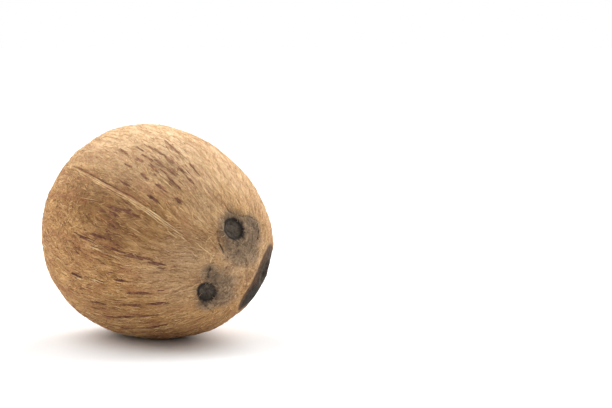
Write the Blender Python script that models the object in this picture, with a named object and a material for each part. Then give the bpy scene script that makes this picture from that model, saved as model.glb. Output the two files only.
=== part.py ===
# A husked mature coconut lying on its side, modelled as one closed solid.
# Units are metres, +Z is up. The origin is the middle of the small flat spot the nut
# rests on, and +X points to the end with the three eyes.

import math

import bmesh
import bpy
from mathutils import Matrix, Vector

# Driving dimensions, lengths in metres and angles in degrees
EYE_END_REACH = 0.0750       # from the widest girth to the tip of the eye end
FAR_END_REACH = 0.0488       # from the widest girth to the blunt far end
GIRTH_RADIUS = 0.0546        # radius of the nut at its widest
EYE_END_POWER = 1.86         # below 2 the end is more pointed than an ellipsoid
FAR_END_POWER = 2.16         # above 2 the end is blunter than an ellipsoid
END_BLEND = 0.35             # how softly one end's shape passes into the other's

NOSE_DOWN = 9.0              # dip of the nut's long axis towards the eye end
ROLL = 13.0                  # turn about the long axis, top towards -Y
REST_CUT = 0.0009            # thickness shaved off to make the flat rest spot

RIDGE_TURNS = (60.0, 180.0, 300.0)   # the three seams, between the eyes
RIDGE_HEIGHT = 0.0007
RIDGE_WIDTH = 0.0042
RIDGE_RISE_END = 12.0        # a seam reaches full height this far from the eye tip,
RIDGE_FADE_START = 70.0      # begins to sink here
RIDGE_FADE_END = 150.0       # and is gone by this angle

# Each eye: angle from the eye tip, turn about the long axis, pit width, pit depth
EYES = (
    (15.4, 2.0, 0.0106, 0.0015),
    (16.6, 116.5, 0.0108, 0.0016),
    (16.5, 240.0, 0.0104, 0.0015),
)
# Each flattened field around an eye: angle from the tip, turn, depth, spread in degrees
FIELDS = (
    (16.0, 1.0, 0.0009, 12.6),
    (16.0, 117.0, 0.0009, 12.6),
    (26.0, 237.0, 0.0011, 12.6),
)

MERIDIANS = 66                # faces round the nut's girth
RINGS = 38                    # faces from its eye tip to its far end
CUTTER_SEGMENTS = 24
CUTTER_RINGS = 24
MERGE_DISTANCE = 0.0001
SHARP_ANGLE = 20.0            # edges bent more than this, the pits' rims, are left crisp

HUSK_COLOUR = (0.608, 0.471, 0.337)  # sRGB, the dry tan brown of the shell's fibres
HUSK_ROUGHNESS = 0.88


def direction(tip_angle, turn):
    """Unit vector at an angle from the eye tip (+Z here) and a turn about that axis."""
    return Vector((
        math.sin(tip_angle) * math.cos(turn),
        math.sin(tip_angle) * math.sin(turn),
        math.cos(tip_angle),
    ))


def ridge_strength(tip_angle):
    """Seams start at the eye tip and die out before the far end."""
    start, end = math.radians(RIDGE_FADE_START), math.radians(RIDGE_FADE_END)
    fade = min(max((end - tip_angle) / (end - start), 0.0), 1.0)
    rise = min(tip_angle / math.radians(RIDGE_RISE_END), 1.0)
    return rise * fade * fade * (3.0 - 2.0 * fade)


def nut_radius(tip_angle, turn):
    """Distance from the nut's centre to its skin in one direction."""
    along, across = math.cos(tip_angle), math.sin(tip_angle)
    eye_share = 0.5 * (1.0 + math.tanh(along / END_BLEND))
    reach = EYE_END_REACH * eye_share + FAR_END_REACH * (1.0 - eye_share)
    power = EYE_END_POWER * eye_share + FAR_END_POWER * (1.0 - eye_share)
    radius = (abs(along / reach) ** power + abs(across / GIRTH_RADIUS) ** power) ** (-1.0 / power)

    here = direction(tip_angle, turn)
    for field_angle, field_turn, depth, spread in FIELDS:
        middle = direction(math.radians(field_angle), math.radians(field_turn))
        radius -= depth * math.exp(-(here.angle(middle) / math.radians(spread)) ** 2)

    for ridge_turn in RIDGE_TURNS:
        swing = math.remainder(turn - math.radians(ridge_turn), math.tau)
        offset = swing * across * radius / RIDGE_WIDTH
        radius += RIDGE_HEIGHT * ridge_strength(tip_angle) * math.exp(-offset * offset)
    return radius


def lying_pose():
    """Rotation from the nut's own axes (+Z to the eye tip) to how it lies."""
    dip, roll = math.radians(NOSE_DOWN), math.radians(ROLL)
    tip = Vector((math.cos(dip), 0.0, -math.sin(dip)))
    upward = Vector((math.sin(dip), 0.0, math.cos(dip)))
    side = tip.cross(upward)
    first = upward * math.cos(roll) + side * math.sin(roll)
    second = side * math.cos(roll) - upward * math.sin(roll)
    return Matrix((first, second, tip)).transposed()


def husk_material():
    def linear(value):
        return value / 12.92 if value <= 0.04045 else ((value + 0.055) / 1.055) ** 2.4

    material = bpy.data.materials.new("husk_fibre")
    material.use_nodes = True
    shader = material.node_tree.nodes["Principled BSDF"]
    shader.inputs["Base Color"].default_value = (*map(linear, HUSK_COLOUR), 1.0)
    shader.inputs["Roughness"].default_value = HUSK_ROUGHNESS
    shader.inputs["Metallic"].default_value = 0.0
    return material


def add_object(name, bm):
    mesh = bpy.data.meshes.new(name)
    bm.to_mesh(mesh)
    bm.free()
    thing = bpy.data.objects.new(name, mesh)
    bpy.context.scene.collection.objects.link(thing)
    return thing


def nut_body(pose):
    """The egg-shaped body, laid down and shaved flat where it touches the table."""
    bm = bmesh.new()
    bmesh.ops.create_uvsphere(bm, u_segments=MERIDIANS, v_segments=RINGS, radius=1.0)
    for vert in bm.verts:
        tip_angle = math.acos(min(max(vert.co.z, -1.0), 1.0))
        turn = math.atan2(vert.co.y, vert.co.x)
        vert.co = pose @ (direction(tip_angle, turn) * nut_radius(tip_angle, turn))

    rest_height = min(vert.co.z for vert in bm.verts) + REST_CUT
    cut = bmesh.ops.bisect_plane(
        bm, geom=bm.verts[:] + bm.edges[:] + bm.faces[:], dist=1e-6,
        plane_co=(0.0, 0.0, rest_height), plane_no=(0.0, 0.0, -1.0), clear_outer=True)
    rim = [item for item in cut["geom_cut"] if isinstance(item, bmesh.types.BMEdge)]
    rest_face = bmesh.ops.contextual_create(bm, geom=rim)["faces"][0]
    bmesh.ops.recalc_face_normals(bm, faces=bm.faces[:])

    shift = -rest_face.calc_center_median_weighted()
    bmesh.ops.translate(bm, verts=bm.verts[:], vec=shift)
    return add_object("coconut", bm), shift


def eye_cutter(index, pose, shift, tip_angle, turn, width, depth):
    """A ball whose lower cap scoops one eye's shallow round pit."""
    tip_angle, turn = math.radians(tip_angle), math.radians(turn)
    nudge = math.radians(1.0)

    def skin(angle, around):
        return direction(angle, around) * nut_radius(angle, around)

    along = skin(tip_angle + nudge, turn) - skin(tip_angle - nudge, turn)
    round_about = skin(tip_angle, turn + nudge) - skin(tip_angle, turn - nudge)
    outward = along.cross(round_about).normalized()

    ball_radius = ((width / 2.0) ** 2 + depth ** 2) / (2.0 * depth)
    middle = skin(tip_angle, turn) + outward * (ball_radius - depth)

    bm = bmesh.new()
    bmesh.ops.create_uvsphere(
        bm, u_segments=CUTTER_SEGMENTS, v_segments=CUTTER_RINGS, radius=ball_radius)
    cutter = add_object(f"eye_cutter_{index}", bm)
    turn_out = outward.to_track_quat("Z", "Y").to_matrix()
    cutter.matrix_world = Matrix.LocRotScale(pose @ middle + shift, pose @ turn_out, None)
    cutter.hide_render = True
    cutter.display_type = "WIRE"
    return cutter


def scoop_eye(coconut, cutter):
    """Cut one eye's pit out of the nut, then throw the cutter away."""
    scoop = coconut.modifiers.new("eye", "BOOLEAN")
    scoop.operation = "DIFFERENCE"
    scoop.solver = "EXACT"
    scoop.object = cutter
    bpy.context.view_layer.objects.active = coconut
    bpy.ops.object.modifier_apply(modifier=scoop.name)
    bpy.data.objects.remove(cutter, do_unlink=True)


def tidy_mesh(mesh):
    """Close up the slivers that the cuts leave, and smooth all but the sharp rims."""
    bm = bmesh.new()
    bm.from_mesh(mesh)
    bmesh.ops.remove_doubles(bm, verts=bm.verts[:], dist=MERGE_DISTANCE)
    bmesh.ops.dissolve_degenerate(bm, edges=bm.edges[:], dist=MERGE_DISTANCE)
    bm.to_mesh(mesh)
    bm.free()
    mesh.shade_smooth()
    mesh.set_sharp_from_angle(angle=math.radians(SHARP_ANGLE))


def main():
    for thing in list(bpy.data.objects):
        bpy.data.objects.remove(thing, do_unlink=True)

    pose = lying_pose()
    coconut, shift = nut_body(pose)
    for index, eye in enumerate(EYES, start=1):
        scoop_eye(coconut, eye_cutter(index, pose, shift, *eye))
    tidy_mesh(coconut.data)
    coconut.data.materials.append(husk_material())


main()
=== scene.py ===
import math
import bpy
import numpy as np
from mathutils import Matrix, Vector


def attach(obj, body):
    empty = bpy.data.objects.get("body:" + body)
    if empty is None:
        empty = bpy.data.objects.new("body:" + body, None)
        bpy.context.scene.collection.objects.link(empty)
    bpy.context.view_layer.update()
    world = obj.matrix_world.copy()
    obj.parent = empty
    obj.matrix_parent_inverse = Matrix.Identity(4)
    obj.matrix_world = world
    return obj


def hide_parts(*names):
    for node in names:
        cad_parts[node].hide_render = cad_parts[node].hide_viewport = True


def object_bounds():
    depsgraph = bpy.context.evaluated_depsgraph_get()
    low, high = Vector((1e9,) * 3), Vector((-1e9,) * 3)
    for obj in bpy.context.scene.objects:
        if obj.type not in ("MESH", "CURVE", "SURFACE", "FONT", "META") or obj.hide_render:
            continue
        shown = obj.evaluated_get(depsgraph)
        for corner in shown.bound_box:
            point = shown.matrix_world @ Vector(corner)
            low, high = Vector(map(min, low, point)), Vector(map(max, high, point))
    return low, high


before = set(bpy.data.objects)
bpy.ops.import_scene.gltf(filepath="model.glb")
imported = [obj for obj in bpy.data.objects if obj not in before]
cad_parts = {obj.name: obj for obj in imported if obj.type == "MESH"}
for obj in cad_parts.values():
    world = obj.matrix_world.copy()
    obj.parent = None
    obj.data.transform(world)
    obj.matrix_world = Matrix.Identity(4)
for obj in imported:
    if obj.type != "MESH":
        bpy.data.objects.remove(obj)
cadLow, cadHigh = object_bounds()
print("frame loaded, nut is", [round(side * 1000) for side in cadHigh - cadLow], "mm")

# how the nut lies: its middle as a share of the box, and the tilt of its long axis in degrees
lie = {
    "middle": (0.4, 0.5, 0.496),
    "noseDown": 9.0,
    "roll": 13.0,
}

nutMiddle = Vector([cadLow[i] + (cadHigh[i] - cadLow[i]) * lie["middle"][i] for i in range(3)])


def lyingTurn():
    dip, roll = math.radians(lie["noseDown"]), math.radians(lie["roll"])
    tip = Vector((math.cos(dip), 0.0, -math.sin(dip)))
    upward = Vector((math.sin(dip), 0.0, math.cos(dip)))
    side = tip.cross(upward)
    first = upward * math.cos(roll) + side * math.sin(roll)
    second = side * math.cos(roll) - upward * math.sin(roll)
    return Matrix((first, second, tip)).transposed()


nutTurn = lyingTurn()

# Every place on the nut is given by two angles: "tip" from the end with the eyes,
# and "turn" round the long axis. Tables hold degrees, arrays hold radians.


def deselectAll():
    if bpy.context.object and bpy.context.object.mode != "OBJECT":
        bpy.ops.object.mode_set(mode="OBJECT")
    bpy.ops.object.select_all(action="DESELECT")


def applyModifier(piece, kind, **settings):
    modifier = piece.modifiers.new(kind.lower(), kind)
    for name, value in settings.items():
        setattr(modifier, name, value)
    bpy.context.view_layer.objects.active = piece
    bpy.ops.object.modifier_apply(modifier=modifier.name)


def smooth(edge0, edge1, value):
    t = np.clip((value - edge0) / (edge1 - edge0), 0.0, 1.0)
    return t * t * (3.0 - 2.0 * t)


def grain(turn, tip, across, along, seed):
    # long soft cells from the eye end to the far end, each lane with its own start
    rng = np.random.default_rng(seed)
    values = rng.uniform(-1.0, 1.0, (across, along + 3))
    start = rng.uniform(0.0, 1.0, across)
    lane = np.mod(turn / math.tau, 1.0) * across
    left = np.floor(lane).astype(int)
    share = lane - left
    share = share * share * (3.0 - 2.0 * share)
    total = 0.0
    for step, weight in ((0, 1.0 - share), (1, share)):
        column = (left + step) % across
        place = np.clip(tip / math.pi, 0.0, 1.0) * along + start[column]
        low = np.floor(place).astype(int)
        part = place - low
        part = part * part * (3.0 - 2.0 * part)
        total = total + weight * (values[column, low] * (1.0 - part) + values[column, low + 1] * part)
    return total


def evenGrain(turn, tip, across, along, seed):
    # fewer lanes towards the two ends, so the cells keep their width
    fullness = np.sin(tip)
    wide = grain(turn, tip, across, along, seed)
    half = grain(turn, tip, across // 2, along, seed + 1)
    few = grain(turn, tip, across // 5, along, seed + 2)
    nearEnd = smooth(0.62, 0.40, fullness)
    atEnd = smooth(0.32, 0.16, fullness)
    return (wide * (1.0 - nearEnd) + half * nearEnd) * (1.0 - atEnd) + few * atEnd


def angleFrom(tip, turn, otherTip, otherTurn):
    a, b = math.radians(otherTip), math.radians(otherTurn)
    close = np.cos(tip) * math.cos(a) + np.sin(tip) * math.sin(a) * np.cos(turn - b)
    return np.arccos(np.clip(close, -1.0, 1.0))


def patchField(tip, turn, patches):
    # 1 in the middle of a patch, 0 at its edge, below 0 outside it
    field = np.full(np.shape(tip), -3.0)
    for otherTip, otherTurn, spread in patches:
        away = np.degrees(angleFrom(tip, turn, otherTip, otherTurn)) / spread
        field = np.maximum(field, 1.0 - away)
    return field


def crowdField(tip, turn, crowds, least=0.0):
    # soft round clouds, each with its own strength
    field = np.full(np.shape(tip), least)
    for otherTip, otherTurn, spread, strength in crowds:
        away = np.degrees(angleFrom(tip, turn, otherTip, otherTurn)) / spread
        field = np.maximum(field, strength * np.exp(-away ** 2))
    return field


def pathAway(tip, turn, path, steps=8):
    # degrees from a line drawn through a few points of the skin
    nearest = np.full(np.shape(tip), 90.0)
    for (tip0, turn0), (tip1, turn1) in zip(path[:-1], path[1:]):
        for step in range(steps):
            share = step / (steps - 1)
            away = angleFrom(tip, turn, tip0 + (tip1 - tip0) * share, turn0 + (turn1 - turn0) * share)
            nearest = np.minimum(nearest, np.degrees(away))
    return nearest


shell = {
    "segments": 448,
    "rings": 208,
    "startRadius": 0.11,
    "crowding": 0.48,        # how much denser the rings are at the eye end
    "smoothing": 14,
    "twist": 0.09,           # how far the fibres turn round the nut on their way along it
    "sway": 0.06,
    "lumps": 0.00019,        # heights in metres, from here to the cracks
    "bundles": 0.00024,
    "fibres": 0.00014,
    "charRim": 0.0003,
    "charSunk": 0.0003,
    "crackDepth": 0.0003,
    "crackWidth": 0.45,      # degrees
    "charRimAt": -0.12,      # shares of a charred patch's half width, 0 at its edge
    "charRimWidth": 0.09,
    "charWall": (-0.04, 0.08),
    "fewFlecks": 0.16,       # how many flecks there are away from their crowds
    "paintedLightAbove": (0.064, 0.112),        # where the painted light on the top side begins, and where it is strongest
    "paintedLightLean": (0.12, 0.14),      # how much sooner it pales towards one side
    "paintedLightEase": (0.012, 0.060),    # where that fades again, on the far side
    "paintedLightLeft": 0.35,
    "restLimit": 0.00005,
}

# the three eyes: half width in degrees, how much longer they are round the nut, depth in metres
eyes = {
    "upper": {"tip": 15.4, "turn": 2.5, "halfWidth": 4.6, "stretch": 1.00, "depth": 0.0007},
    "lower": {"tip": 17.9, "turn": 115.5, "halfWidth": 3.9, "stretch": 1.25, "depth": 0.0007},
    "far": {"tip": 16.5, "turn": 240.0, "halfWidth": 4.3, "stretch": 1.08, "depth": 0.0006},
}

# and what they share: places as a share of the half width, heights in metres
eyeShape = {
    "wall": (1.10, 0.80),
    "uneven": 0.05,
    "calm": 0.6,             # how much of the skin's own relief is gone inside
    "lip": 0.00035,
    "lipAt": 1.24,
    "lipWidth": 0.16,
    "knob": 0.0003,
    "knobWidth": 0.45,
    "reach": 2.4,            # how far out an eye's own depth counts
}

# low swellings beside the charred skin: angle from the tip, turn, spread in degrees, height in metres
swellings = (
    (30, 266, 15, 0.0013), (24, 222, 13, 0.0015),
)

seam = {
    "path": ((6, 68), (17, 57), (29, 50), (37, 47.8), (45, 45.5),
             (57, 43.5), (69, 42.8), (85, 41.2), (100, 39.6), (117, 39)),
    "starts": (0.20, 0.55),      # radians from the tip over which it rises
    "ends": (2.1, 1.7),          # and over which it is gone again
    "width": 0.0008,
    "height": 0.00018,
    "grooveFrom": (0.9, 1.2),
    "grooveAt": 0.0014,
    "grooveWidth": 0.00050,
    "grooveDepth": 0.00014,
}

girth = 0.0546       # the nut's half width in metres, for distances across its skin

# weathered skin round the eyes: angle from the tip, turn, half width in degrees
greyPatches = (
    (12, 340, 9.5), (9, 15, 7.5), (6.5, 335, 7), (6, 20, 6), (16, 5, 7.5),
    (16.5, 325, 6), (12, 115, 7.5), (15, 138, 7.5), (19.5, 132, 6), (15, 85, 4.5),
    (18, 262, 6),
)

# charred skin, given the same way
charPatches = (
    (21, 231, 14.1), (18.3, 211, 9.6), (20, 197, 5),
)

# hairline cracks by the eyes, each through a few points: angle from the tip, turn
cracks = (
    ((18.5, 27), (15.5, 36), (12.5, 44), (9, 52)),
    ((23.6, 358.5), (21, 354), (19.6, 343), (20, 326), (19.4, 317)),
    ((19.4, 317), (16.1, 312), (12, 311)),
    ((14.5, 68), (15.5, 85), (16.1, 94)),
    ((21.4, 118), (21.6, 131), (22.2, 142), (23.2, 150)),
)

# Each soft cloud below is given by its angle from the tip, turn, spread in degrees and strength.

# sooty smudges round the eyes
sootSpots = (
    (20.5, 345, 2.6, 0.9), (18.6, 333, 2.6, 1), (17, 321, 2.6, 1), (13.6, 318, 2.6, 1),
    (10.4, 325, 2.4, 0.9), (7.2, 338, 2.4, 0.7), (22, 352, 2.6, 0.9), (17, 345, 2.6, 0.5),
    (7, 20, 3.5, 0.7), (15.9, 28, 2, 0.9), (12.7, 36, 2.2, 0.9), (13.5, 92, 3.2, 1),
    (11.5, 106, 3, 0.7), (21.5, 124, 3, 0.9), (14, 134, 3, 0.5), (16, 80, 2.4, 0.7),
)

# where small reddish-brown flecks crowd together
fleckCrowds = (
    (50, 14, 9, 1), (65, 5, 8, 0.8), (60, 48, 6, 0.7), (62, 62, 6, 0.8),
    (55, 75, 8, 0.8), (77, 75, 8, 0.7), (80, 97, 8, 0.7), (60, 112, 10, 0.7),
    (70, 200, 20, 0.9), (75, 285, 20, 0.9), (55, 250, 12, 0.7),
    (115, 150, 18, 0.8), (120, 330, 20, 0.8), (110, 240, 16, 0.7),
)

# where the fuzz curls instead of lying along the nut
curlCrowds = (
    (92, 62, 17, 1), (112, 30, 14, 0.7), (70, 320, 16, 0.8), (100, 200, 20, 0.8),
    (140, 120, 20, 0.8),
)

# worn skin, duller and less yellow
wornCrowds = (
    (6, 50, 15, 0.55), (24, 70, 13, 0.55), (28, 100, 10, 0.45), (26, 20, 11, 0.35),
    (6, 300, 14, 0.45), (34, 85, 12, 0.40), (33, 290, 11, 0.35),
)

# broad darker and paler areas of the husk; the widest dark one, on the far side, is painted shade that
# tones down where the lamps light most
darkCrowds = (
    (76, 55, 15, 1), (60, 60, 15, 1.3), (46, 50, 9, 0.6), (66, 33, 9, 0.6),
    (53, 16, 9, 0.5), (62, 112, 9, 0.4), (100, 180, 25, 0.8), (70, 250, 18, 0.8),
    (120, 300, 20, 0.8), (130, 60, 16, 0.5), (136, 255, 50, 0.8),
)
paleCrowds = (
    (98, 12, 18, 0.7), (26, 28, 8, 0.6), (35, 340, 14, 0.5), (95, 95, 12, 0.4),
    (33, 290, 10, 0.9), (80, 220, 16, 0.7), (60, 300, 16, 0.7), (125, 120, 20, 0.6),
)


def seamTurn(tip):
    angles, turns = zip(*seam["path"])
    return np.radians(np.interp(np.degrees(tip), angles, turns))


def seamAway(tip, turn):
    # metres across the skin from the seam, growing with the turn
    swing = np.mod(turn - seamTurn(tip) + math.pi, math.tau) - math.pi
    return swing * np.sin(tip) * girth


def seamReach(tip):
    return smooth(*seam["starts"], tip) * smooth(*seam["ends"], tip)


def bentTurn(tip, turn):
    # the fibres lean a little round the nut, and wander
    sway = evenGrain(turn, tip, 24, 7, 11) * shell["sway"] / np.maximum(np.sin(tip), 0.25)
    return turn + shell["twist"] * tip + sway


def eyeAway(tip, turn):
    # how far from the nearest eye, with its edge at 1
    nearest = np.full(np.shape(tip), 9.0)
    for eye in eyes.values():
        away = angleFrom(tip, turn, eye["tip"], eye["turn"])
        aside = np.sin(tip) * np.sin(turn - math.radians(eye["turn"]))
        away = np.sqrt(away ** 2 - (1.0 - eye["stretch"] ** -2) * aside ** 2)
        nearest = np.minimum(nearest, np.degrees(away) / eye["halfWidth"])
    return nearest


def broadTone(tip, turn):
    clouds = crowdField(tip, turn, paleCrowds) - crowdField(tip, turn, darkCrowds)
    return clouds + 0.30 * evenGrain(turn, tip, 22, 9, 801)


def bandTone(tip, turn):
    # narrow bands along the fibres, pinkish brown below 0 and cream above
    return evenGrain(bentTurn(tip, turn), tip, 150, 17, 811) * smooth(0.25, 0.60, tip)


# painted light: the top side is painted paler, as if lit from above, leaning to one side and fading on the
# far side
def paintedLightAbove(spots):
    x, y, z = spots.T
    leanX, leanY = shell["paintedLightLean"]
    fading = (1.0 - shell["paintedLightLeft"]) * smooth(*shell["paintedLightEase"], y - x)
    return smooth(*shell["paintedLightAbove"], z + leanX * x + leanY * y) * (1.0 - fading)


def startShell():
    deselectAll()
    bpy.ops.mesh.primitive_uv_sphere_add(
        segments=shell["segments"], ring_count=shell["rings"], radius=shell["startRadius"],
        location=(0.0, 0.0, 0.0))
    piece = bpy.context.object
    piece.name = piece.data.name = "coconutShell"
    piece.data.uv_layers[0].name = "OFBake"

    # crowd the rings towards the eye end
    spots = readSpots(piece) / shell["startRadius"]
    tip = np.arccos(np.clip(spots[:, 2], -1.0, 1.0))
    turn = np.arctan2(spots[:, 1], spots[:, 0])
    ringOf = np.rint(tip / math.pi * shell["rings"]).astype(int)
    segmentOf = np.rint(turn / math.tau * shell["segments"]).astype(int) % shell["segments"]
    tip = tip - shell["crowding"] * np.sin(tip)
    spots = np.stack([np.sin(tip) * np.cos(turn), np.sin(tip) * np.sin(turn), np.cos(tip)], 1)
    spots = spots @ np.array(nutTurn).T * shell["startRadius"] + np.array(nutMiddle)
    piece.data.vertices.foreach_set("co", spots.ravel())
    piece.data.update()

    # shrink it onto the nut, and soften the flat facets away
    applyModifier(piece, "SHRINKWRAP", target=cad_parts["coconut"], wrap_method="PROJECT",
                  use_negative_direction=True, use_positive_direction=False)
    applyModifier(piece, "SMOOTH", factor=0.5, iterations=shell["smoothing"])
    return piece, tip, turn, ringOf, segmentOf


def readSpots(piece):
    spots = np.empty(len(piece.data.vertices) * 3)
    piece.data.vertices.foreach_get("co", spots)
    return spots.reshape(-1, 3)


def readNormals(piece):
    normals = np.empty(len(piece.data.vertices) * 3)
    piece.data.vertices.foreach_get("normal", normals)
    return normals.reshape(-1, 3)


def shapeShell(piece, tip, turn):
    spots, normals = readSpots(piece), readNormals(piece)
    bent = bentTurn(tip, turn)

    # soft lumps, bundles and single fibres
    lumps = evenGrain(bent, tip, 26, 11, 21)
    bundles = evenGrain(bent, tip, 92, 20, 31) * smooth(0.10, 0.45, tip)
    fibres = evenGrain(bent, tip, 224, 50, 41)
    height = lumps * shell["lumps"] + bundles * shell["bundles"] + fibres * shell["fibres"]

    # the seam that shows: a low ridge of long pale fibres with a groove beside it
    fromSeam, reach = seamAway(tip, turn), seamReach(tip)
    groove = np.exp(-((fromSeam + seam["grooveAt"]) / seam["grooveWidth"]) ** 2)
    groove = groove * smooth(*seam["grooveFrom"], tip)
    height += reach * np.exp(-(fromSeam / seam["width"]) ** 2) * seam["height"]
    height -= reach * groove * seam["grooveDepth"]

    # charred skin lies a little lower, inside a raised edge
    char = patchField(tip, turn, charPatches) + 0.04 * bundles + 0.05 * evenGrain(turn, tip, 40, 22, 51)
    height += shell["charRim"] * np.exp(-((char - shell["charRimAt"]) / shell["charRimWidth"]) ** 2)
    height -= shell["charSunk"] * smooth(*shell["charWall"], char)

    crack = np.full(len(spots), 9.0)
    for path in cracks:
        crack = np.minimum(crack, pathAway(tip, turn, path))
    height -= shell["crackDepth"] * np.exp(-(crack / shell["crackWidth"]) ** 2)

    for otherTip, otherTurn, spread, rise in swellings:
        away = np.degrees(angleFrom(tip, turn, otherTip, otherTurn)) / spread
        height += rise * np.exp(-away ** 2)

    # eyes: a steep wall, a dished floor with a low knob in it, and a soft lip outside
    toEye = eyeAway(tip, turn) * (1.0 + eyeShape["uneven"] * (np.sin(3.0 * turn) + bundles))
    depth = np.zeros(len(spots))
    for eye in eyes.values():
        away = np.degrees(angleFrom(tip, turn, eye["tip"], eye["turn"]))
        depth[away < eyeShape["reach"] * eye["halfWidth"]] = eye["depth"]
    inside = smooth(*eyeShape["wall"], toEye)
    height = height * (1.0 - eyeShape["calm"] * inside) - inside * depth
    height += eyeShape["lip"] * np.exp(-((toEye - eyeShape["lipAt"]) / eyeShape["lipWidth"]) ** 2)
    height += eyeShape["knob"] * np.exp(-(toEye / eyeShape["knobWidth"]) ** 2)

    spots = spots + normals * height[:, None]

    # nothing hangs below the table
    low = shell["restLimit"]
    spots[:, 2] = np.where(spots[:, 2] < low, low, spots[:, 2])
    piece.data.vertices.foreach_set("co", spots.ravel())
    piece.data.update()
    return bent, {
        "bundle": bundles,
        "broad": broadTone(tip, turn),
        "band": bandTone(tip, turn),
        "paintedTopLight": paintedLightAbove(spots),
        "worn": crowdField(tip, turn, wornCrowds),
        "fleck": crowdField(tip, turn, fleckCrowds, shell["fewFlecks"]),
        "grey": patchField(tip, turn, greyPatches),
        "soot": crowdField(tip, turn, sootSpots),
        "char": char,
        "crack": crack,
        "eyeAway": np.minimum(toEye, 3.0),
        "seamAway": np.clip(fromSeam * 1000.0, -9.0, 9.0),     # millimetres
        "seamReach": reach,
        "ends": smooth(0.42, 0.20, tip) + smooth(2.80, 2.95, tip),
    }


def storeMarks(piece, marks, tip, bent):
    # the material reads these marks, and draws its finer detail from them
    for name, values in marks.items():
        layer = piece.data.attributes.new(name, "FLOAT", "POINT")
        layer.data.foreach_set("value", values.astype(np.float32))
    layer = piece.data.attributes.new("fibreWay", "FLOAT_VECTOR", "POINT")
    way = np.stack([np.cos(bent), np.sin(bent), tip], 1)
    layer.data.foreach_set("vector", way.astype(np.float32).ravel())


def newMaterial(name):
    material = bpy.data.materials.new(name)
    material.use_nodes = True
    return material, material.node_tree, material.node_tree.nodes["Principled BSDF"]


def addNode(tree, kind, inputs=(), **settings):
    node = tree.nodes.new(kind)
    for name, value in settings.items():
        setattr(node, name, value)
    for key, value in dict(inputs).items():
        if isinstance(value, bpy.types.NodeSocket):
            tree.links.new(value, node.inputs[key])
        else:
            node.inputs[key].default_value = value
    return node


def mark(tree, name):
    return addNode(tree, "ShaderNodeAttribute", attribute_name=name).outputs["Fac"]


def calc(tree, operation, a, b=0.0):
    return addNode(tree, "ShaderNodeMath", {0: a, 1: b}, operation=operation).outputs[0]


def times(tree, a, b):
    return calc(tree, "MULTIPLY", a, b)


def blend(tree, parts):
    # a weighted sum
    total = None
    for value, weight in parts:
        part = times(tree, value, weight)
        total = part if total is None else calc(tree, "ADD", total, part)
    return total


def mixColour(tree, amount, low, high):
    return addNode(tree, "ShaderNodeMix", {0: amount, 6: low, 7: high}, data_type="RGBA").outputs[2]


def mixLevel(tree, amount, low, high):
    return addNode(tree, "ShaderNodeMix", {0: amount, 2: low, 3: high}, data_type="FLOAT").outputs[0]


def spread(tree, value, low, high, toLow=0.0, toHigh=1.0):
    return addNode(tree, "ShaderNodeMapRange", {"Value": value, "From Min": low, "From Max": high,
                                                "To Min": toLow, "To Max": toHigh}).outputs[0]


def tint(tree, value, low, high, under, over, share=1.0):
    # one colour gives way to another as a value goes from low to high
    return mixColour(tree, spread(tree, value, low, high, 0.0, share), under, over)


def noise(tree, way, scale, detail=3.0, roughness=0.6, distortion=0.0):
    if isinstance(scale, float):
        scale = (scale,) * 3
    scaled = addNode(tree, "ShaderNodeMapping", {"Vector": way, "Scale": scale})
    return addNode(tree, "ShaderNodeTexNoise",
                   {"Vector": scaled.outputs[0], "Scale": 1.0, "Detail": detail,
                    "Roughness": roughness, "Distortion": distortion}).outputs[0]


def line(tree, value, centre, halfWidth):
    # 1 along the middle of a line, fading to 0 at its sides
    away = calc(tree, "ABSOLUTE", calc(tree, "SUBTRACT", value, centre))
    return spread(tree, away, halfWidth, halfWidth * 0.35)


def colour(red, green, blue):
    # screen values to the renderer's own
    def linear(value):
        value /= 255.0
        return value / 12.92 if value <= 0.04045 else ((value + 0.055) / 1.055) ** 2.4
    return (linear(red), linear(green), linear(blue), 1.0)


husk = {
    "dark": colour(104, 70, 42),
    "middle": colour(168, 126, 80),
    "light": colour(226, 183, 129),
    "reddish": colour(168, 114, 78),
    "golden": colour(214, 164, 98),
    "cream": colour(240, 212, 174),
    "wornDark": colour(128, 102, 76),
    "wornLight": colour(206, 177, 142),
    "fleck": colour(106, 63, 50),
    "grey": colour(82, 68, 56),
    "greyLight": colour(162, 136, 109),
    "soot": colour(66, 54, 43),
    "char": colour(17, 13, 11),
    "charLight": colour(50, 40, 31),
    "scorch": colour(84, 59, 40),
    "eye": colour(44, 38, 32),
    "eyeLight": colour(86, 77, 67),
    # painted shade in the eyes' rims, and the colour of the cracks
    "eyeEdge": colour(36, 30, 26),
    "roughness": (0.74, 0.95),
    "specular": 0.12,
    "sheen": 0.05,
    "sheenRoughness": 0.5,
    "sheenTint": colour(255, 242, 222),
    "bumpStrength": 0.9,
    "bumpDepth": 0.0008,
}

# how fine each pattern is: cells in a metre, or cells round the nut and along it
grains = {
    "felt": 1150.0,
    "stub": (90.0, 90.0, 26.0),
    "stubAtEnds": 760.0,
    "streak": (38.0, 38.0, 7.0),
    "streakAtEnds": 300.0,
    "cloud": 62.0,
    "dash": (78.0, 78.0, 12.0),
    "mottle": 380.0,
    "fibreMottle": 420.0,
}


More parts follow.
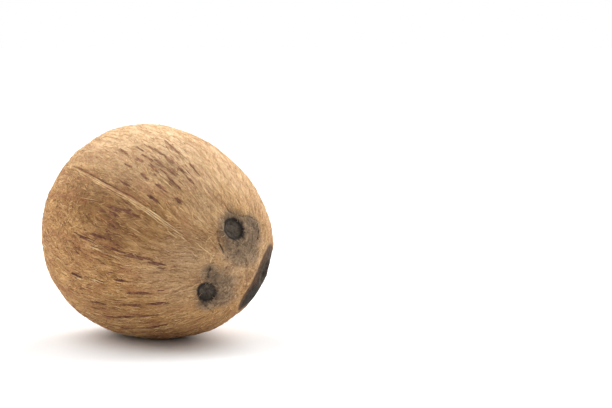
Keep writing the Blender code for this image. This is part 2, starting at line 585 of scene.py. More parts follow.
def huskSkin():
    material, tree, shader = newMaterial("huskSkin")
    way = addNode(tree, "ShaderNodeAttribute", attribute_name="fibreWay").outputs["Vector"]
    place = addNode(tree, "ShaderNodeTexCoord").outputs["Object"]
    ends = mark(tree, "ends")

    # matted grain: fine felt, stubby fibres and longer streaks, without direction at the two ends
    felt = noise(tree, place, grains["felt"], 3.0, 0.65)
    stub = mixLevel(tree, ends, noise(tree, way, grains["stub"], 3.0, 0.65, 0.5),
                    noise(tree, place, grains["stubAtEnds"], 3.0, 0.6))
    streak = mixLevel(tree, ends, noise(tree, way, grains["streak"], 3.0, 0.6, 0.4),
                      noise(tree, place, grains["streakAtEnds"], 3.0, 0.6, 0.5))
    cloud = noise(tree, place, grains["cloud"], 3.0, 0.55)
    ragged = blend(tree, ((felt, 0.6), (stub, 0.4)))        # stays near one half

    broad = mark(tree, "broad")
    tone = blend(tree, ((stub, 0.40), (streak, 0.30), (felt, 0.30),
                        (mark(tree, "bundle"), 0.03), (broad, 0.045)))
    dark = tint(tree, tone, 0.37, 0.50, husk["dark"], husk["middle"])
    base = tint(tree, tone, 0.50, 0.64, dark, husk["light"])
    base = tint(tree, cloud, 0.52, 0.70, base, husk["reddish"], 0.30)
    base = tint(tree, cloud, 0.50, 0.34, base, husk["golden"], 0.22)

    # darker areas, and narrow bands along the fibres
    base = tint(tree, broad, 0.0, -1.0, base, husk["dark"], 0.50)
    bandEdge = blend(tree, ((mark(tree, "band"), 0.6), (streak, 1.0)))
    base = tint(tree, bandEdge, 0.40, 0.05, base, husk["reddish"], 0.30)
    base = tint(tree, bandEdge, 0.65, 1.05, base, husk["light"], 0.25)

    # painted light: the top side painted paler towards cream as if lit from above; then the worn skin by
    # the eyes
    topSide = mark(tree, "paintedTopLight")
    paintedTopLight = times(tree, topSide, spread(tree, tone, 0.40, 0.58, 0.35, 0.70))
    base = mixColour(tree, paintedTopLight, base, husk["cream"])
    wornTone = tint(tree, tone, 0.38, 0.62, husk["wornDark"], husk["wornLight"])
    base = mixColour(tree, mark(tree, "worn"), base, wornTone)

    # thin reddish flecks, more of them where the marks say so
    dashes = noise(tree, way, grains["dash"], 1.5, 0.5, 0.35)
    dashes = calc(tree, "ADD", dashes, spread(tree, mark(tree, "fleck"), 0.0, 1.0, -0.06, 0.065))
    fleck = spread(tree, dashes, 0.66, 0.71, 0.0, 0.75)
    base = mixColour(tree, fleck, base, husk["fleck"])

    # the seam: painted shade in broken lengths along its groove, with a golden thread below it
    wander = blend(tree, ((mark(tree, "seamAway"), 1.0), (streak, 1.4)))
    reach = mark(tree, "seamReach")
    thread = times(tree, line(tree, wander, 0.7, 0.50), spread(tree, stub, 0.42, 0.54, 0.1, 0.7))
    thread = times(tree, thread, reach)
    groove = times(tree, line(tree, wander, -0.6, 0.50), spread(tree, streak, 0.47, 0.58, 0.0, 0.45))
    groove = times(tree, groove, reach)
    base = mixColour(tree, thread, base, husk["golden"])
    base = mixColour(tree, groove, base, husk["fleck"])

    # weathered grey round the eyes, clouded and soft at its edge
    mottle = noise(tree, place, grains["mottle"], 3.0, 0.6, 0.6)
    greyTone = mixColour(tree, spread(tree, blend(tree, ((mottle, 0.55), (felt, 0.45))), 0.42, 0.58),
                         husk["grey"], husk["greyLight"])
    greyEdge = blend(tree, ((mark(tree, "grey"), 1.0), (mottle, 0.9), (ragged, 0.5)))
    grey = spread(tree, greyEdge, 0.62, 1.15, 0.0, 0.88)
    base = mixColour(tree, grey, base, greyTone)
    soot = times(tree, mark(tree, "soot"), spread(tree, mottle, 0.38, 0.60, 0.20, 0.80))
    base = mixColour(tree, soot, base, husk["soot"])

    # hairline cracks
    crackEdge = blend(tree, ((mark(tree, "crack"), 1.0), (mottle, 1.6)))
    crack = spread(tree, crackEdge, 1.22, 0.86, 0.0, 0.85)
    base = mixColour(tree, crack, base, husk["eyeEdge"])

    # charred skin, scorched brown towards its edge
    sootGrain = blend(tree, ((mottle, 0.6), (felt, 0.4)))
    inChar = mark(tree, "char")
    charTone = tint(tree, sootGrain, 0.42, 0.66, husk["char"], husk["charLight"])
    scorch = spread(tree, blend(tree, ((inChar, 1.0), (mottle, 1.0))), 0.90, 0.58)
    charTone = mixColour(tree, scorch, charTone, husk["scorch"])
    charEdge = blend(tree, ((inChar, 1.0), (ragged, 0.30), (mottle, 0.10)))
    base = tint(tree, charEdge, 0.13, 0.24, base, charTone)

    # the eyes: a sooty smudge outside, then dark and mottled, with painted shade darkest just inside the
    # edge where the pit's wall falls
    fromEye = mark(tree, "eyeAway")
    eyeEdge = blend(tree, ((fromEye, 1.0), (ragged, 0.35), (mottle, 0.25)))
    smudge = spread(tree, blend(tree, ((fromEye, 1.0), (mottle, 1.6))), 2.5, 1.75, 0.0, 0.65)
    base = mixColour(tree, smudge, base, husk["grey"])
    eyeTone = tint(tree, sootGrain, 0.40, 0.60, husk["eye"], husk["eyeLight"])
    eyeRimShade = times(tree, line(tree, eyeEdge, 1.18, 0.22), spread(tree, cloud, 0.42, 0.56, 0.15, 1.0))
    eyeTone = mixColour(tree, eyeRimShade, eyeTone, husk["eyeEdge"])
    inEye = spread(tree, eyeEdge, 1.43, 1.23)
    base = mixColour(tree, inEye, base, eyeTone)
    tree.links.new(base, shader.inputs["Base Color"])

    low, high = husk["roughness"]
    tree.links.new(spread(tree, streak, 0.3, 0.7, high, low), shader.inputs["Roughness"])
    shader.inputs["Specular IOR Level"].default_value = husk["specular"]
    shader.inputs["Sheen Weight"].default_value = husk["sheen"]
    shader.inputs["Sheen Roughness"].default_value = husk["sheenRoughness"]
    shader.inputs["Sheen Tint"].default_value = husk["sheenTint"]

    # less relief on the top side, where the colour is painted paler as if lit
    relief = blend(tree, ((stub, 0.50), (streak, 0.35), (felt, 0.35), (thread, 0.35),
                          (fleck, -0.25), (groove, -0.35), (crack, -0.25)))
    relief = times(tree, relief, spread(tree, topSide, 0.0, 1.0, 1.0, 0.4))
    bump = addNode(tree, "ShaderNodeBump", {"Height": relief, "Strength": husk["bumpStrength"],
                                            "Distance": husk["bumpDepth"]})
    tree.links.new(bump.outputs[0], shader.inputs["Normal"])
    return material


def makeShell():
    piece, tip, turn, ringOf, segmentOf = startShell()
    normals = readNormals(piece)
    bent, marks = shapeShell(piece, tip, turn)
    storeMarks(piece, marks, tip, bent)
    bpy.ops.object.shade_smooth()
    piece.data.materials.clear()
    piece.data.materials.append(huskSkin())
    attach(piece, "root")
    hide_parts("coconut")
    print("shell shaped,", len(piece.data.polygons), "faces")
    return piece, normals, ringOf, segmentOf


shellPiece, shellNormals, shellRing, shellSegment = makeShell()


def skinGrid():
    spots, normals = readSpots(shellPiece), shellNormals
    place = np.zeros((shell["rings"] + 1, shell["segments"], 3))
    facing = np.zeros_like(place)
    place[shellRing, shellSegment] = spots
    facing[shellRing, shellSegment] = normals
    for ring in (0, shell["rings"]):
        pole = np.nonzero(shellRing == ring)[0][0]
        place[ring], facing[ring] = spots[pole], normals[pole]
    return place, facing


def anglesOf(spots):
    local = (spots - np.array(nutMiddle)) @ np.array(nutTurn)
    tip = np.arccos(np.clip(local[..., 2] / np.linalg.norm(local, axis=-1), -1.0, 1.0))
    return tip, np.mod(np.arctan2(local[..., 1], local[..., 0]), math.tau)


def sampleSkin(spots):
    # the skin under any points: its place and the way it faces
    tip, turn = anglesOf(spots)
    even = np.linspace(0.0, math.pi, shell["rings"] + 1)
    ring = np.interp(tip, even - shell["crowding"] * np.sin(even), np.arange(shell["rings"] + 1))
    lane = turn / math.tau * shell["segments"]
    row = np.clip(np.floor(ring).astype(int), 0, shell["rings"] - 1)
    left = np.floor(lane).astype(int)
    down, over = (ring - row)[..., None], (lane - left)[..., None]
    left, right = left % shell["segments"], (left + 1) % shell["segments"]
    found = []
    for grid in skinGrids:
        found.append(grid[row, left] * (1 - down) * (1 - over) + grid[row, right] * (1 - down) * over
                     + grid[row + 1, left] * down * (1 - over) + grid[row + 1, right] * down * over)
    return found


def skinFrame(tip, turn):
    # unit directions at an angle from the eye tip: out, along the fibres, and around
    sinTip, cosTip, sinTurn, cosTurn = np.sin(tip), np.cos(tip), np.sin(turn), np.cos(turn)
    out = np.stack([sinTip * cosTurn, sinTip * sinTurn, cosTip], -1)
    along = np.stack([cosTip * cosTurn, cosTip * sinTurn, -sinTip], -1)
    around = np.stack([-sinTurn, cosTurn, 0 * sinTurn], -1)
    turnBack = np.array(nutTurn).T
    return out @ turnBack, along @ turnBack, around @ turnBack


# one fibre's widths, as shares of its full width
strandShape = {
    "root": 0.35,
    "swell": 1.6,        # how fast it widens from the root
    "point": 0.12,
    "taper": 4.0,        # how late it thins towards the point
}


def modelStrand(rings):
    # one thin three-sided fibre, drawn up ring by ring and tapered at both ends
    root, point = strandShape["root"], strandShape["point"]
    deselectAll()
    bpy.ops.mesh.primitive_circle_add(vertices=3, radius=1.0, fill_type="NGON", location=(0.0, 0.0, 0.0))
    strand = bpy.context.object
    bpy.ops.object.mode_set(mode="EDIT")
    bpy.ops.mesh.select_all(action="SELECT")
    bpy.ops.transform.resize(value=(root, root, root))
    width = root
    for ring in range(1, rings):
        share = ring / (rings - 1)
        full = min(1.0, strandShape["taper"] * (1.0 - share), strandShape["swell"] * share + root)
        wanted = point + (1.0 - point) * full
        bpy.ops.mesh.extrude_region_move(TRANSFORM_OT_translate={"value": (0.0, 0.0, 1.0 / (rings - 1))})
        bpy.ops.transform.resize(value=(wanted / width, wanted / width, 1.0))
        width = wanted
    bpy.ops.mesh.select_all(action="SELECT")
    bpy.ops.mesh.normals_make_consistent(inside=False)
    bpy.ops.object.mode_set(mode="OBJECT")
    corners = np.array([vertex.co for vertex in strand.data.vertices])
    faces = [list(face.vertices) for face in strand.data.polygons]
    bpy.data.objects.remove(strand, do_unlink=True)
    return corners, faces


def strandPaths(kind, rng, tip, turn, heading, length):
    # where each fibre runs over the skin, ring by ring
    count, rings = len(tip), kind["rings"]
    out, along, around = skinFrame(tip, turn)
    start = sampleSkin(np.array(nutMiddle) + out * girth)[0]
    if length is None:
        low, high = kind["length"]
        length = low + (high - low) * rng.uniform(size=count) ** 1.5
    bend = rng.normal(size=count) * kind["bend"]
    share = np.linspace(0.0, 1.0, rings)[None, :]
    way = heading[:, None] + bend[:, None] * (share - 0.5)
    step = length[:, None] / (rings - 1)
    walkAlong = np.cumsum(np.cos(way) * step, 1)
    walkAround = np.cumsum(np.sin(way) * step, 1)
    walkAlong -= walkAlong.mean(1, keepdims=True)
    walkAround -= walkAround.mean(1, keepdims=True)
    spots = start[:, None, :] + walkAlong[..., None] * along[:, None, :]
    spots = spots + walkAround[..., None] * around[:, None, :]
    place, facing = sampleSkin(spots)
    facing /= np.linalg.norm(facing, axis=-1, keepdims=True)
    low, high = kind["lift"]
    lift = (low + (high - low) * rng.uniform(size=count))[:, None]
    low, high = kind["rise"]
    rise = (low + (high - low) * rng.uniform(size=count) ** 2)[:, None] * share ** 2
    place = place + facing * (lift + rise)[..., None]
    return place, facing


# what all loose fibres share
laying = {
    "aboveTable": 0.0004,
    "onChar": 0.02,          # how far a fibre may reach over charred skin
    "bandVary": 0.35,
    "topShade": 0.68,        # the shade that fibres are pulled to where the top side is painted paler as if lit, and how nearly
    "topShare": 0.70,
}


def layFibres(name, kind, tip, turn, heading, shade, length=None):
    rng = np.random.default_rng(kind["seed"] + 7)
    grey = np.clip(2.0 * patchField(tip, turn, greyPatches), 0.0, 1.0)
    band = bandTone(tip, turn) + rng.normal(size=len(tip)) * laying["bandVary"]
    place, facing = strandPaths(kind, rng, tip, turn, heading, length)
    charred = patchField(*anglesOf(place), charPatches).max(1)
    keep = (place[..., 2].min(1) > laying["aboveTable"]) & (charred < laying["onChar"])
    place, facing, shade, grey, band = place[keep], facing[keep], shade[keep], grey[keep], band[keep]
    # painted light pales the fibres on the top side; the same share scales their real wear
    topLightAndWear = kind.get("topLightAndWear", 1.0)
    paintedTopLight = paintedLightAbove(place[:, 0]) * topLightAndWear
    worn = crowdField(tip, turn, wornCrowds)[keep] * topLightAndWear
    shade = shade + laying["topShare"] * paintedTopLight * (laying["topShade"] - shade)
    count, rings = place.shape[:2]

    # a copy of the strand is bent along each path
    forward = np.gradient(place, axis=1)
    forward /= np.linalg.norm(forward, axis=-1, keepdims=True)
    side = np.cross(forward, facing)
    side /= np.linalg.norm(side, axis=-1, keepdims=True)
    up = np.cross(side, forward)
    corners, faces = modelStrand(rings)
    ringOf = np.rint(corners[:, 2] * (rings - 1)).astype(int)
    low, high = kind["width"]
    width = (low + (high - low) * rng.uniform(size=count) ** 1.5)[:, None, None] / 2.0
    spots = (place[:, ringOf] + side[:, ringOf] * corners[None, :, 0, None] * width
             + up[:, ringOf] * corners[None, :, 1, None] * width * kind.get("flatness", 0.7))

    deselectAll()
    total = len(corners)
    mesh = bpy.data.meshes.new(name)
    everyFace = [[corner + total * index for corner in face] for index in range(count) for face in faces]
    mesh.from_pydata(spots.reshape(-1, 3), [], everyFace)
    piece = bpy.data.objects.new(name, mesh)
    bpy.context.scene.collection.objects.link(piece)

    for label, values in (("shade", shade), ("greyed", grey), ("band", band), ("paintedTopLight", paintedTopLight),
                          ("worn", worn)):
        layer = mesh.attributes.new(label, "FLOAT", "POINT")
        layer.data.foreach_set("value", np.repeat(values, total).astype(np.float32))

    # each fibre has its own small cell of the map
    cells = math.ceil(math.sqrt(count))
    cornerOf = np.concatenate([np.array(face) for face in faces])
    u = 0.15 + 0.7 * (np.arctan2(corners[cornerOf, 1], corners[cornerOf, 0]) / math.tau + 0.5)
    v = 0.1 + 0.8 * corners[cornerOf, 2]
    cell = np.arange(count)
    atU = ((cell % cells)[:, None] + u[None, :]) / cells
    atV = ((cell // cells)[:, None] + v[None, :]) / cells
    layer = mesh.uv_layers.new(name="OFBake")
    layer.data.foreach_set("uv", np.stack([atU, atV], -1).astype(np.float32).ravel())

    piece.select_set(True)
    bpy.context.view_layer.objects.active = piece
    bpy.ops.object.shade_smooth()
    mesh.materials.append(fibreMaterial)
    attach(piece, "root")
    print(name, "laid,", count, "fibres,", len(mesh.polygons), "faces")


fibre = {
    "dark": colour(98, 61, 48),
    "rose": colour(144, 96, 73),
    "pinkish": colour(176, 116, 84),
    "tan": colour(170, 126, 78),
    "pale": colour(226, 180, 122),
    "cream": colour(240, 210, 170),
    "wornDark": colour(134, 108, 82),
    "wornLight": colour(228, 202, 168),
    "blonde": colour(250, 222, 172),
    "greyDark": colour(86, 73, 58),
    "greyPale": colour(172, 148, 118),
    "roughness": (0.7, 0.9),
    "specular": 0.25,
    "bumpStrength": 0.3,
    "bumpDepth": 0.0003,
}


def fibreSkin():
    material, tree, shader = newMaterial("looseFibre")
    shade = mark(tree, "shade")
    place = addNode(tree, "ShaderNodeTexCoord").outputs["Object"]
    mottle = noise(tree, place, grains["fibreMottle"], 2.0, 0.5)
    shade = calc(tree, "ADD", shade, spread(tree, mottle, 0.3, 0.7, -0.12, 0.12))
    tone = tint(tree, shade, 0.0, 0.20, fibre["dark"], fibre["rose"])
    tone = tint(tree, shade, 0.20, 0.42, tone, fibre["tan"])
    tone = tint(tree, shade, 0.4, 0.72, tone, fibre["pale"])
    tone = tint(tree, shade, 0.72, 1.0, tone, fibre["blonde"])
    pinkish = times(tree, spread(tree, mark(tree, "band"), 0.0, -0.8, 0.0, 0.7),
                    spread(tree, shade, 0.15, 0.35))
    tone = mixColour(tree, pinkish, tone, fibre["pinkish"])
    # painted light: paler towards cream on the top side
    tone = mixColour(tree, times(tree, mark(tree, "paintedTopLight"), 0.45), tone, fibre["cream"])
    wornTone = tint(tree, shade, 0.2, 0.9, fibre["wornDark"], fibre["wornLight"])
    tone = mixColour(tree, mark(tree, "worn"), tone, wornTone)
    greyTone = tint(tree, shade, 0.2, 0.9, fibre["greyDark"], fibre["greyPale"])
    tone = mixColour(tree, times(tree, mark(tree, "greyed"), 0.85), tone, greyTone)
    tree.links.new(tone, shader.inputs["Base Color"])
    low, high = fibre["roughness"]
    tree.links.new(spread(tree, mottle, 0.3, 0.7, high, low), shader.inputs["Roughness"])
    shader.inputs["Specular IOR Level"].default_value = fibre["specular"]
    bump = addNode(tree, "ShaderNodeBump", {"Height": mottle, "Strength": fibre["bumpStrength"],
                                            "Distance": fibre["bumpDepth"]})
    tree.links.new(bump.outputs[0], shader.inputs["Normal"])
    return material


fibreMaterial = fibreSkin()
skinGrids = skinGrid()

# each kind of loose fibre: lengths, widths and heights in metres, heading in degrees,
# bend in radians, and the middle and the spread of its shade
kinds = {
    "feltFibres": {
        "seed": 101, "count": 8800, "rings": 4, "length": (0.0012, 0.0046), "width": (0.00020, 0.00044),
        "heading": 18.0, "bend": 0.55, "lift": (-0.00010, 0.00006), "rise": (0.0, 0.0001),
        "shade": (0.41, 0.20),
    },
    "combedFibres": {
        "seed": 151, "count": 8800, "rings": 4, "length": (0.0014, 0.0064), "width": (0.00018, 0.00040),
        "heading": 12.0, "bend": 0.40, "lift": (-0.00006, 0.00010), "rise": (0.0, 0.00015),
        "shade": (0.54, 0.22),
    },
    "paleFibres": {
        "seed": 202, "count": 3600, "rings": 4, "length": (0.0012, 0.0052), "width": (0.00018, 0.00038),
        "heading": 17.0, "bend": 0.50, "lift": (0.00002, 0.00018), "rise": (0.0, 0.0003),
        "shade": (0.82, 0.14),
    },
    "curledFibres": {
        "seed": 252, "count": 11000, "rings": 6, "length": (0.0016, 0.0042), "width": (0.00018, 0.00034),
        "heading": 40.0, "bend": 2.0, "lift": (-0.00002, 0.00016), "rise": (0.0, 0.0003),
        "shade": (0.50, 0.26), "crowded": True,
    },
    "longHairs": {
        "seed": 707, "count": 170, "rings": 8, "length": (0.004, 0.013), "width": (0.00018, 0.00032),
        "heading": 6.0, "bend": 0.30, "lift": (0.0001, 0.0003), "rise": (0.0, 0.0004),
        "shade": (0.88, 0.10),
    },
    "fuzzFibres": {
        "seed": 303, "count": 1500, "rings": 5, "length": (0.001, 0.0026), "width": (0.00010, 0.00020),
        "heading": 50.0, "bend": 1.0, "lift": (0.0, 0.00015), "rise": (0.0001, 0.0009),
        "shade": (0.62, 0.17),
    },
}
lean = -5.0      # degrees that loose fibres turn from the long axis


def clearOfMarks(tip, turn, rng):
    # none in the eyes or on charred skin, and few on the worn grey skin
    keep = (eyeAway(tip, turn) > 1.2) & (patchField(tip, turn, charPatches) < -0.10)
    worn = np.clip(2.5 * patchField(tip, turn, greyPatches) + 0.3, 0.0, 1.0)
    return keep & (rng.uniform(size=len(tip)) > 0.75 * worn)


def looseFibres(name):
    kind = kinds[name]
    rng = np.random.default_rng(kind["seed"])
    tip = np.arccos(rng.uniform(-1.0, 0.996, kind["count"]))
    turn = rng.uniform(0.0, math.tau, kind["count"])
    keep = clearOfMarks(tip, turn, rng)
    if kind.get("crowded"):
        keep &= rng.uniform(size=kind["count"]) < 0.08 + crowdField(tip, turn, curlCrowds)
    tip, turn = tip[keep], turn[keep]
    ends = smooth(0.55, 0.15, tip) + smooth(2.5, 2.9, tip)
    loose = kind["heading"] * (1.0 + 2.5 * ends + 3.0 * crowdField(tip, turn, curlCrowds))
    heading = np.radians(rng.normal(size=len(tip)) * loose + 7.0 * evenGrain(turn, tip, 20, 9, 905) + lean)
    middle, vary = kind["shade"]
    shade = middle + rng.normal(size=len(tip)) * vary
    shade = shade + 0.18 * broadTone(tip, turn) + 0.03 * bandTone(tip, turn)
    layFibres(name, kind, tip, turn, heading, np.clip(shade, 0.02, 0.98))


for kindName in kinds:
    looseFibres(kindName)


def strandsAt(rng, places, count, width, shades):
    # a few strands side by side at each place, broken here and there
    strokes = []
    for tip, turn, length in places:
        length = length / 1000.0
        for index in range(count):
            along = rng.uniform(-0.32, 0.32) * length
            across = rng.normal() * width + along * math.tan(math.radians(lean))
            strokes.append((math.radians(tip) + along / girth,
                            math.radians(turn) + across / girth / math.sin(math.radians(tip)),
                            length * rng.uniform(0.45, 0.85), rng.uniform(*shades)))
    return strokes      # angle from the tip, turn, length and shade of each


# rows of long dark flecks: turn, first and last angle from the tip, how many, length in millimetres
fleckRows = (
    (0, 46, 63, 2, 10), (9, 43, 70, 5, 7), (15, 50, 75, 4, 6), (20, 47, 80, 4, 7), (27, 37, 70, 4, 6),
    (37, 46, 64, 2, 8), (51, 54, 62, 2, 9), (56, 64, 68, 2, 4), (68, 60, 70, 3, 5), (73, 55, 72, 2, 13),
    (76, 38, 48, 3, 8), (93, 54, 82, 3, 7), (100, 42, 50, 2, 7), (110, 37, 69, 3, 10), (122, 46, 70, 3, 10),
    (133, 45, 65, 3, 8),
)


def fleckFibres():
    kind = {
        "seed": 404, "rings": 6, "length": (0.0016, 0.0048), "width": (0.00032, 0.00066), "bend": 0.12,
        "lift": (0.00010, 0.00022), "rise": (0.0, 0.0), "flatness": 0.3, "topLightAndWear": 0.35,
        "shade": (0.04, 0.30), "crowded": 420, "scattered": 220,
        "longShade": (0.0, 0.17), "perLong": 13, "across": 0.00028, "stray": 1.0, "wander": 4.0,
        "hiddenLong": 55, "hiddenTurns": (150.0, 295.0), "hiddenLength": (3.0, 12.0),
    }
    rng = np.random.default_rng(kind["seed"])
    low, high = kind["length"]

    # small flecks, in their crowds and scattered
    strokes = []
    for index in range(kind["crowded"]):
        otherTip, otherTurn, spreadAngle, strength = fleckCrowds[rng.integers(len(fleckCrowds))]
        if rng.uniform() < strength:
            aside = rng.normal(size=2) * spreadAngle * 0.6
            strokes.append((math.radians(otherTip + aside[0]),
                            math.radians(otherTurn + aside[1] / math.sin(math.radians(otherTip))),
                            rng.uniform(low, high), rng.uniform(*kind["shade"])))
    for index in range(kind["scattered"]):
        strokes.append((math.acos(rng.uniform(-0.9, 0.88)), rng.uniform(0.0, math.tau),
                        rng.uniform(low, high), rng.uniform(*kind["shade"])))

    # long flecks in their rows, and freely on the far side
    places = []
    for turn, firstTip, lastTip, count, length in fleckRows:
        for tip in np.linspace(firstTip, lastTip, count):
            places.append((tip + rng.normal() * kind["stray"], turn + rng.normal() * kind["stray"],
                           length * rng.uniform(0.75, 1.25)))
    for index in range(kind["hiddenLong"]):
        places.append((math.degrees(math.acos(rng.uniform(-0.8, 0.8))), rng.uniform(*kind["hiddenTurns"]),
                       rng.uniform(*kind["hiddenLength"])))
    strokes += strandsAt(rng, places, kind["perLong"], kind["across"], kind["longShade"])

    tip, turn, length, shade = np.array(strokes).T
    keep = clearOfMarks(tip, turn, rng)
    tip, turn, length, shade = tip[keep], turn[keep], length[keep], shade[keep]
    heading = np.radians(rng.normal(size=len(tip)) * kind["wander"] + lean)
    layFibres("fleckFibres", kind, tip, turn, heading, shade, length)


# long pale cords that cross the rest: angle from the tip, turn, length in millimetres
longCords = (
    (67, 76, 10), (61, 77, 15), (66, 95, 9), (75, 120, 10), (52, 129, 8), (95, 13, 15), (48, 23, 10),
    (27, 30, 6), (57, 35, 5), (35, 18, 6), (80, 300, 12), (70, 230, 14), (100, 180, 12), (110, 270, 13),
)


def paleCords():
    kind = {
        "seed": 505, "count": 290, "rings": 9, "length": (0.005, 0.017), "width": (0.00018, 0.00034),
        "bend": 0.10, "lift": (0.00010, 0.00030), "rise": (0.0, 0.00010), "topLightAndWear": 0.3,
        "cords": (-0.00055, 0.00015, 0.00090), "cordShares": (0.45, 0.35, 0.20), "cordStray": 0.00012,
        "gaps": (-0.00026, 0.00046), "gapped": 0.10, "grooved": 0.12, "grooveStray": 0.00020,
        "darkShade": (0.05, 0.30), "wander": 1.8,
        "perCord": 7, "across": 0.00010, "cordShade": (0.80, 1.0), "cordWander": 2.5,
    }
    rng = np.random.default_rng(kind["seed"])

    # pale cords along the seam, most of them on its middle stretch
    count = kind["count"]
    tip = np.where(rng.uniform(size=count) < 0.6, rng.uniform(0.70, 1.45, count),
                   rng.uniform(0.45, 2.05, count))
    offset = rng.choice(kind["cords"], count, p=kind["cordShares"])
    offset = offset + rng.normal(size=count) * kind["cordStray"]
    shade = np.clip(rng.normal(0.88, 0.12, count), 0.45, 1.0)

    # dark fibres between the pale cords and in the groove above them, laid as painted shade in those gaps
    chance = rng.uniform(size=count)
    gapped = chance < kind["gapped"]
    grooved = chance > 1.0 - kind["grooved"]
    offset = np.where(gapped, rng.choice(kind["gaps"], count), offset)
    offset = np.where(grooved, -seam["grooveAt"] + rng.normal(size=count) * kind["grooveStray"], offset)
    tip = np.where(grooved, rng.uniform(1.0, 1.75, count), tip)
    shade = np.where(gapped | grooved, rng.uniform(*kind["darkShade"], count), shade)

    turn = seamTurn(tip) + offset / (girth * np.maximum(np.sin(tip), 0.3))
    slope = (seamTurn(tip + 0.02) - seamTurn(tip - 0.02)) / 0.04 * np.sin(tip)
    heading = slope + np.radians(rng.normal(size=count) * kind["wander"])
    low, high = kind["length"]
    length = low + (high - low) * rng.uniform(size=count) ** 1.5

    # and the cords that lie away from the seam
    strokes = strandsAt(rng, longCords, kind["perCord"], kind["across"], kind["cordShade"])
    moreTip, moreTurn, moreLength, moreShade = np.array(strokes).T
    moreHeading = np.radians(rng.normal(size=len(strokes)) * kind["cordWander"] + lean)
    layFibres("paleCords", kind, np.append(tip, moreTip), np.append(turn, moreTurn),
              np.append(heading, moreHeading), np.append(shade, moreShade), np.append(length, moreLength))


def eyeFringe():
    kind = {
        "seed": 606, "rings": 4, "length": (0.0008, 0.0022), "width": (0.00016, 0.00030),
        "bend": 0.4, "lift": (0.0001, 0.00025), "rise": (0.0, 0.00015), "perEye": 22,
        "side": 180.0, "spread": 38.0,       # degrees round the eye: 180 is its side nearer the tip
        "fromEye": (1.0, 1.35),
    }
    rng = np.random.default_rng(kind["seed"])
    tips, turns, headings, shades = [], [], [], []
    for eye in eyes.values():
        tip, turn = math.radians(eye["tip"]), math.radians(eye["turn"])
        for index in range(kind["perEye"]):
            around = math.radians(kind["side"] + rng.normal() * kind["spread"])
            away = math.radians(eye["halfWidth"]) * rng.uniform(*kind["fromEye"])
            tips.append(tip + away * math.cos(around))
            turns.append(turn + away * math.sin(around) / math.sin(tip))
            headings.append(around + rng.normal() * 0.4)
            shades.append(np.clip(rng.normal(0.70, 0.2), 0.2, 0.95))
    layFibres("eyeFringe", kind, np.array(tips), np.array(turns), np.array(headings), np.array(shades))


fleckFibres()
paleCords()
eyeFringe()


studio = {
    "floorRadius": 8.0,
    "floorTone": 0.84,
    "front": 0.22,           # how bright the room is right behind the camera
    "around": 0.98,          # at its sides and overhead
    "behind": 0.90,          # and beyond the nut, as a share of that
    "backdrop": 1.0,         # the white that the camera sees past the floor
}

# soft lamps, each from a direction as the camera sees it: to the right, beyond the nut, and up
lamps = (
    {"name": "rightKey", "from": (0.90, 0.75, 1.0), "power": 2.8, "softness": 60.0},
    {"name": "leftKey", "from": (-0.80, 0.60, 1.0), "power": 2.3, "softness": 60.0},
)


def makeFloor():
    deselectAll()
    bpy.ops.mesh.primitive_circle_add(vertices=96, radius=studio["floorRadius"], fill_type="NGON",
                                      location=(0.0, 0.0, 0.0))
    floor = bpy.context.object
    floor.name = floor.data.name = "studioFloor"
    material, tree, shader = newMaterial("palePaper")
    shader.inputs["Base Color"].default_value = (studio["floorTone"],) * 3 + (1.0,)
    shader.inputs["Roughness"].default_value = 0.9
    shader.inputs["Specular IOR Level"].default_value = 0.0
    floor.data.materials.append(material)


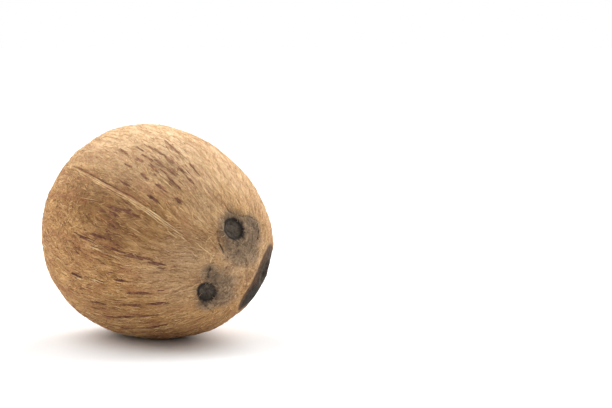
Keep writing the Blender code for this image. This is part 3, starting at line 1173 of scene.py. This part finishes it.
def makeLight():
    world = bpy.data.worlds.new("softRoom")
    bpy.context.scene.world = world
    world.use_nodes = True
    tree = world.node_tree
    around = math.radians(camera["azimuth"])
    beyond = (-math.sin(around), math.cos(around), 0.25)
    way = addNode(tree, "ShaderNodeTexCoord").outputs["Generated"]
    facing = addNode(tree, "ShaderNodeVectorMath", {0: way, 1: beyond},
                     operation="DOT_PRODUCT").outputs["Value"]
    room = tree.nodes["Background"]
    room.inputs["Color"].default_value = (1.0, 1.0, 1.0, 1.0)
    ahead = spread(tree, facing, -0.95, -0.05, studio["front"], studio["around"])
    beyondNut = spread(tree, facing, 0.05, 0.95, 1.0, studio["behind"])
    tree.links.new(times(tree, ahead, beyondNut), room.inputs["Strength"])
    seen = addNode(tree, "ShaderNodeBackground", {"Color": (1.0, 1.0, 1.0, 1.0),
                                                  "Strength": studio["backdrop"]})
    ray = addNode(tree, "ShaderNodeLightPath")
    join = addNode(tree, "ShaderNodeMixShader")
    tree.links.new(ray.outputs["Is Camera Ray"], join.inputs[0])
    tree.links.new(room.outputs[0], join.inputs[1])
    tree.links.new(seen.outputs[0], join.inputs[2])
    tree.links.new(join.outputs[0], tree.nodes["World Output"].inputs["Surface"])

    for lamp in lamps:
        aside, beyondBy, up = lamp["from"]
        source = Vector((math.cos(around) * aside - math.sin(around) * beyondBy,
                         math.sin(around) * aside + math.cos(around) * beyondBy, up))
        deselectAll()
        bpy.ops.object.light_add(type="SUN", location=source)
        light = bpy.context.object
        light.name = lamp["name"]
        light.data.energy = lamp["power"]
        light.data.angle = math.radians(lamp["softness"])
        light.rotation_euler = (-source).to_track_quat("-Z", "Y").to_euler()


camera = {
    "azimuth": 49.6,
    "elevation": 7.0,
    "distance": 0.9,
    "lens": 102.2,
    "aside": 5.24,      # degrees that the camera looks to the right of the nut
    "above": 0.84,      # and above it
}


def makeCamera():
    around, up = math.radians(camera["azimuth"]), math.radians(camera["elevation"])
    back = Vector((math.sin(around) * math.cos(up), -math.cos(around) * math.cos(up), math.sin(up)))
    deselectAll()
    bpy.ops.object.camera_add(location=nutMiddle + back * camera["distance"])
    eye = bpy.context.object
    eye.name = "mainCamera"
    eye.data.lens = camera["lens"]
    eye.data.sensor_width = 36.0
    eye.data.clip_start, eye.data.clip_end = 0.01, 50.0
    down = up - math.radians(camera["above"])
    eye.rotation_euler = (math.pi / 2 - down, 0.0, around - math.radians(camera["aside"]))
    bpy.context.scene.camera = eye
    bpy.context.scene.view_settings.view_transform = "Standard"


makeFloor()
makeLight()
makeCamera()
print("studio set")
